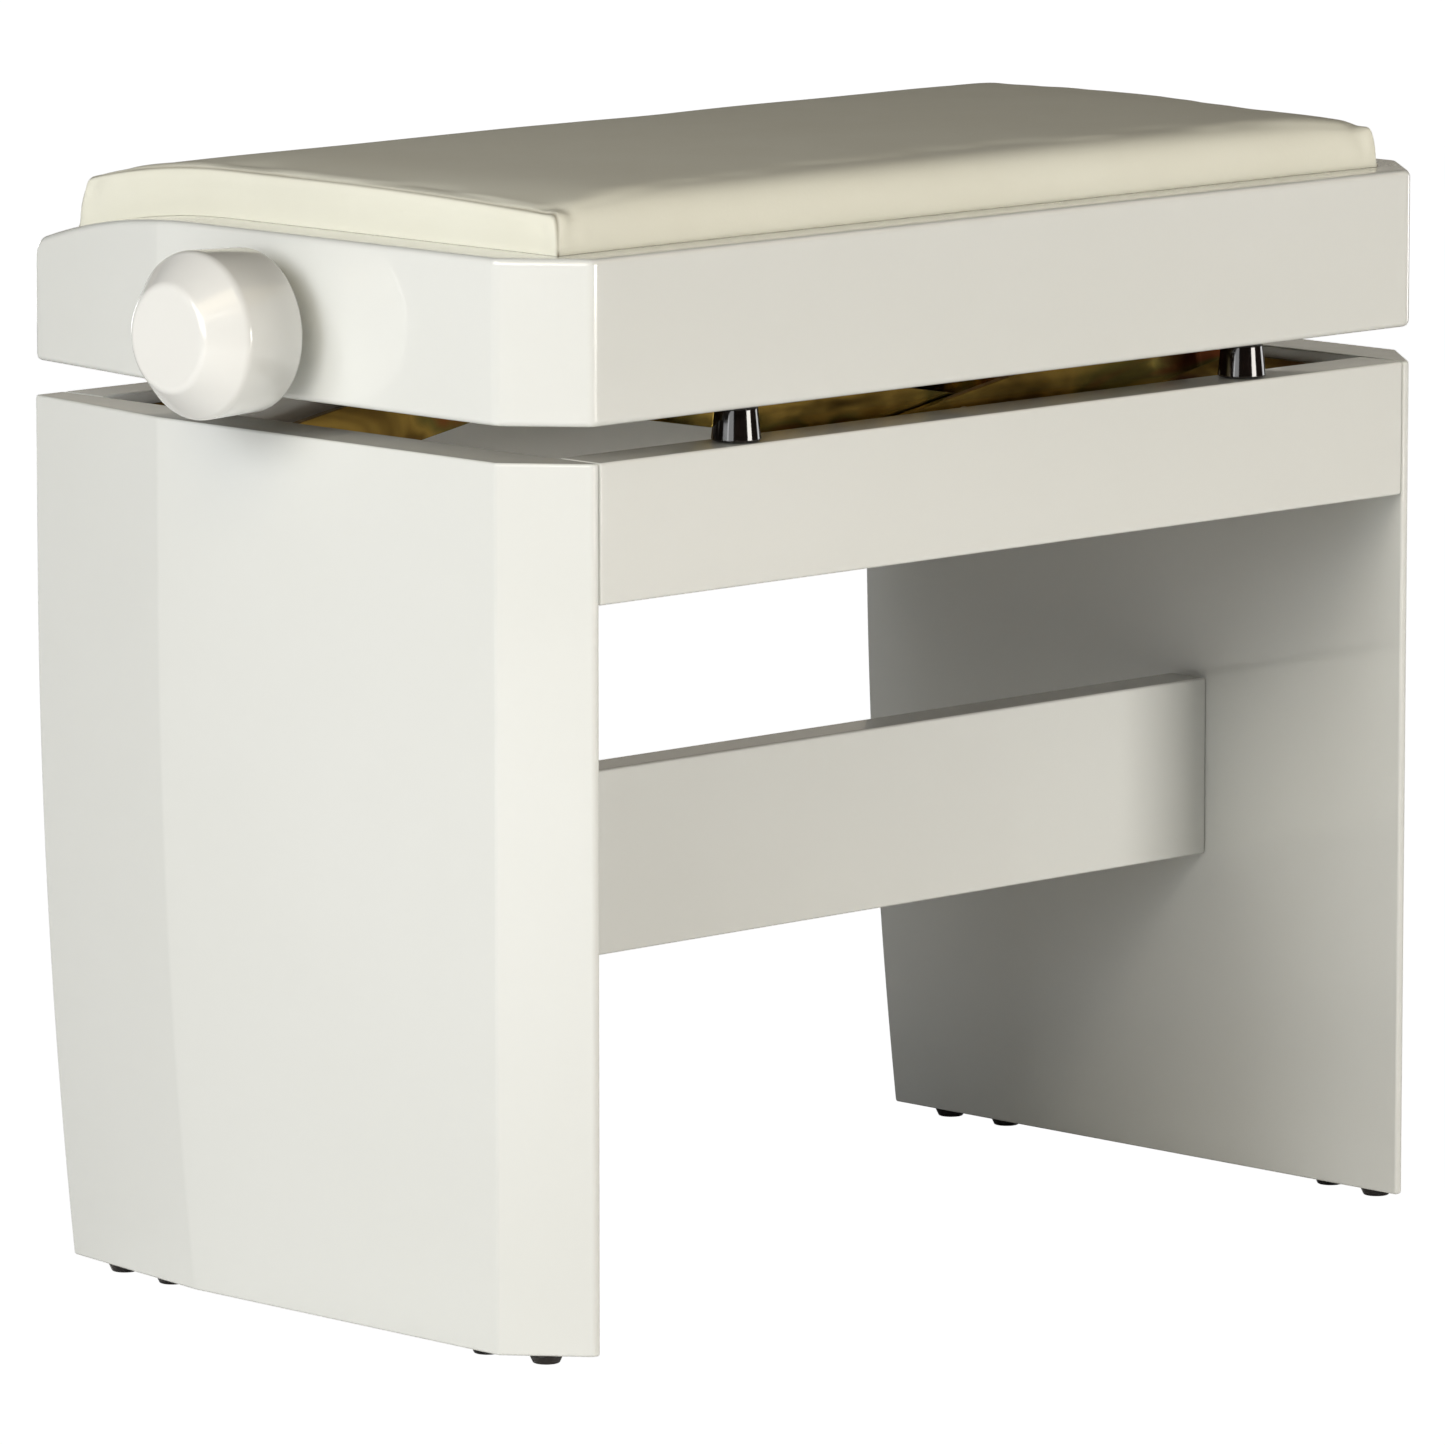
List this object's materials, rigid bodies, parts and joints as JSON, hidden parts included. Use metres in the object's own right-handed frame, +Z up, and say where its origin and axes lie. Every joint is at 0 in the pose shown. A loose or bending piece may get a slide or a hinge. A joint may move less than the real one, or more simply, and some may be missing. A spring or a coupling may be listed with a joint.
{
  "type": "piano bench",
  "caption": "Height-adjustable piano bench: padded seat on a scissor lift driven by a knob-turned spindle, over solid side panels and a low stretcher.",
  "frame": {"origin": "on the floor under the middle of the bench, seat at its lowest", "axes": "+X along the bench, +Y to its back, +Z up"},
  "size_m": [0.6576, 0.3284, 0.4795],
  "materials": {
    "white_lacquer": "high-gloss white polyester lacquer on wood",
    "cream_leatherette": "smooth cream artificial leather, satin",
    "plywood": "bare plywood",
    "yellow_zinc": "yellow chromated zinc plate, iridescent olive and bronze",
    "bright_steel": "bright turned steel",
    "brass": "turned brass",
    "black_rubber": "glossy black moulded rubber",
    "white_knob": "gloss white lacquer"
  },
  "bodies": {
    "base": {"left_side_panel": "white_lacquer", "right_side_panel": "white_lacquer", "front_apron": "white_lacquer", "rear_apron": "white_lacquer", "stretcher": "white_lacquer", "glide_left_1": "black_rubber", "glide_left_2": "black_rubber", "glide_left_3": "black_rubber", "glide_left_4": "black_rubber", "glide_right_1": "black_rubber", "glide_right_2": "black_rubber", "glide_right_3": "black_rubber", "glide_right_4": "black_rubber", "stop_buffer_left_front": "black_rubber", "stop_buffer_left_rear": "black_rubber", "stop_buffer_right_front": "black_rubber", "stop_buffer_right_rear": "black_rubber", "base_bracket_left": "yellow_zinc", "base_bracket_right": "yellow_zinc", "base_bracket_screw_left_front": "yellow_zinc", "base_bracket_screw_left_rear": "yellow_zinc", "base_bracket_screw_right_front": "yellow_zinc", "base_bracket_screw_right_rear": "yellow_zinc", "base_web_screw_left_front": "yellow_zinc", "base_web_screw_left_rear": "yellow_zinc", "base_web_screw_right_front": "yellow_zinc", "base_web_screw_right_rear": "yellow_zinc", "lower_pivot_rod": "bright_steel"},
    "seat": {"seat_left_board": "white_lacquer", "seat_right_board": "white_lacquer", "seat_front_board": "white_lacquer", "seat_rear_board": "white_lacquer", "seat_panel": "plywood", "seat_cushion": "cream_leatherette", "seat_bracket_left": "yellow_zinc", "seat_bracket_right": "yellow_zinc", "seat_bracket_screw_left_front": "yellow_zinc", "seat_bracket_screw_left_rear": "yellow_zinc", "seat_bracket_screw_right_front": "yellow_zinc", "seat_bracket_screw_right_rear": "yellow_zinc", "upper_pivot_rod": "bright_steel", "spindle_bushing_left": "brass", "spindle_bushing_right": "brass"},
    "arms_a": {"arm_a_front": "yellow_zinc", "arm_a_rear": "yellow_zinc", "centre_rod": "bright_steel", "upper_slide_rod": "bright_steel"},
    "arms_b": {"arm_b_front": "yellow_zinc", "arm_b_rear": "yellow_zinc", "lower_slide_rod": "bright_steel"},
    "drive": {"drive_bar": "yellow_zinc", "drive_nut": "brass", "drive_fork_front": "yellow_zinc", "drive_fork_rear": "yellow_zinc"},
    "spindle": {"spindle": "bright_steel", "knob_left": "white_knob", "knob_right": "white_knob", "spindle_collar_left": "bright_steel", "spindle_collar_right": "bright_steel"}
  },
  "joints": [
    {"name": "seat_lift", "type": "slide", "parent": "base", "child": "seat", "axis": [0, 0, 1], "range_m": [0, 0.09]},
    {"name": "arms_a_swing", "type": "hinge", "parent": "base", "child": "arms_a", "pos_m": [-0.215, 0, 0.326], "axis": [0, -1, 0], "range_deg": [0, 12.32]},
    {"name": "arms_b_swing", "type": "hinge", "parent": "seat", "child": "arms_b", "pos_m": [-0.215, 0, 0.4], "axis": [0, 1, 0], "range_deg": [0, 12.32]},
    {"name": "drive_slide", "type": "slide", "parent": "seat", "child": "drive", "axis": [-1, 0, 0], "range_m": [0, 0.02572]},
    {"name": "knob_turn", "type": "hinge", "parent": "seat", "child": "spindle", "pos_m": [0, 0, 0.416], "axis": [1, 0, 0], "range_deg": [0, 3083]}
  ],
  "couplings": [
    {"joint": "arms_a_swing", "follows": "seat_lift", "rad_per_m": 2.3879},
    {"joint": "arms_b_swing", "follows": "seat_lift", "rad_per_m": 2.3879},
    {"joint": "drive_slide", "follows": "seat_lift", "ratio": 0.28526},
    {"joint": "knob_turn", "follows": "seat_lift", "rad_per_m": 597.45}
  ]
}
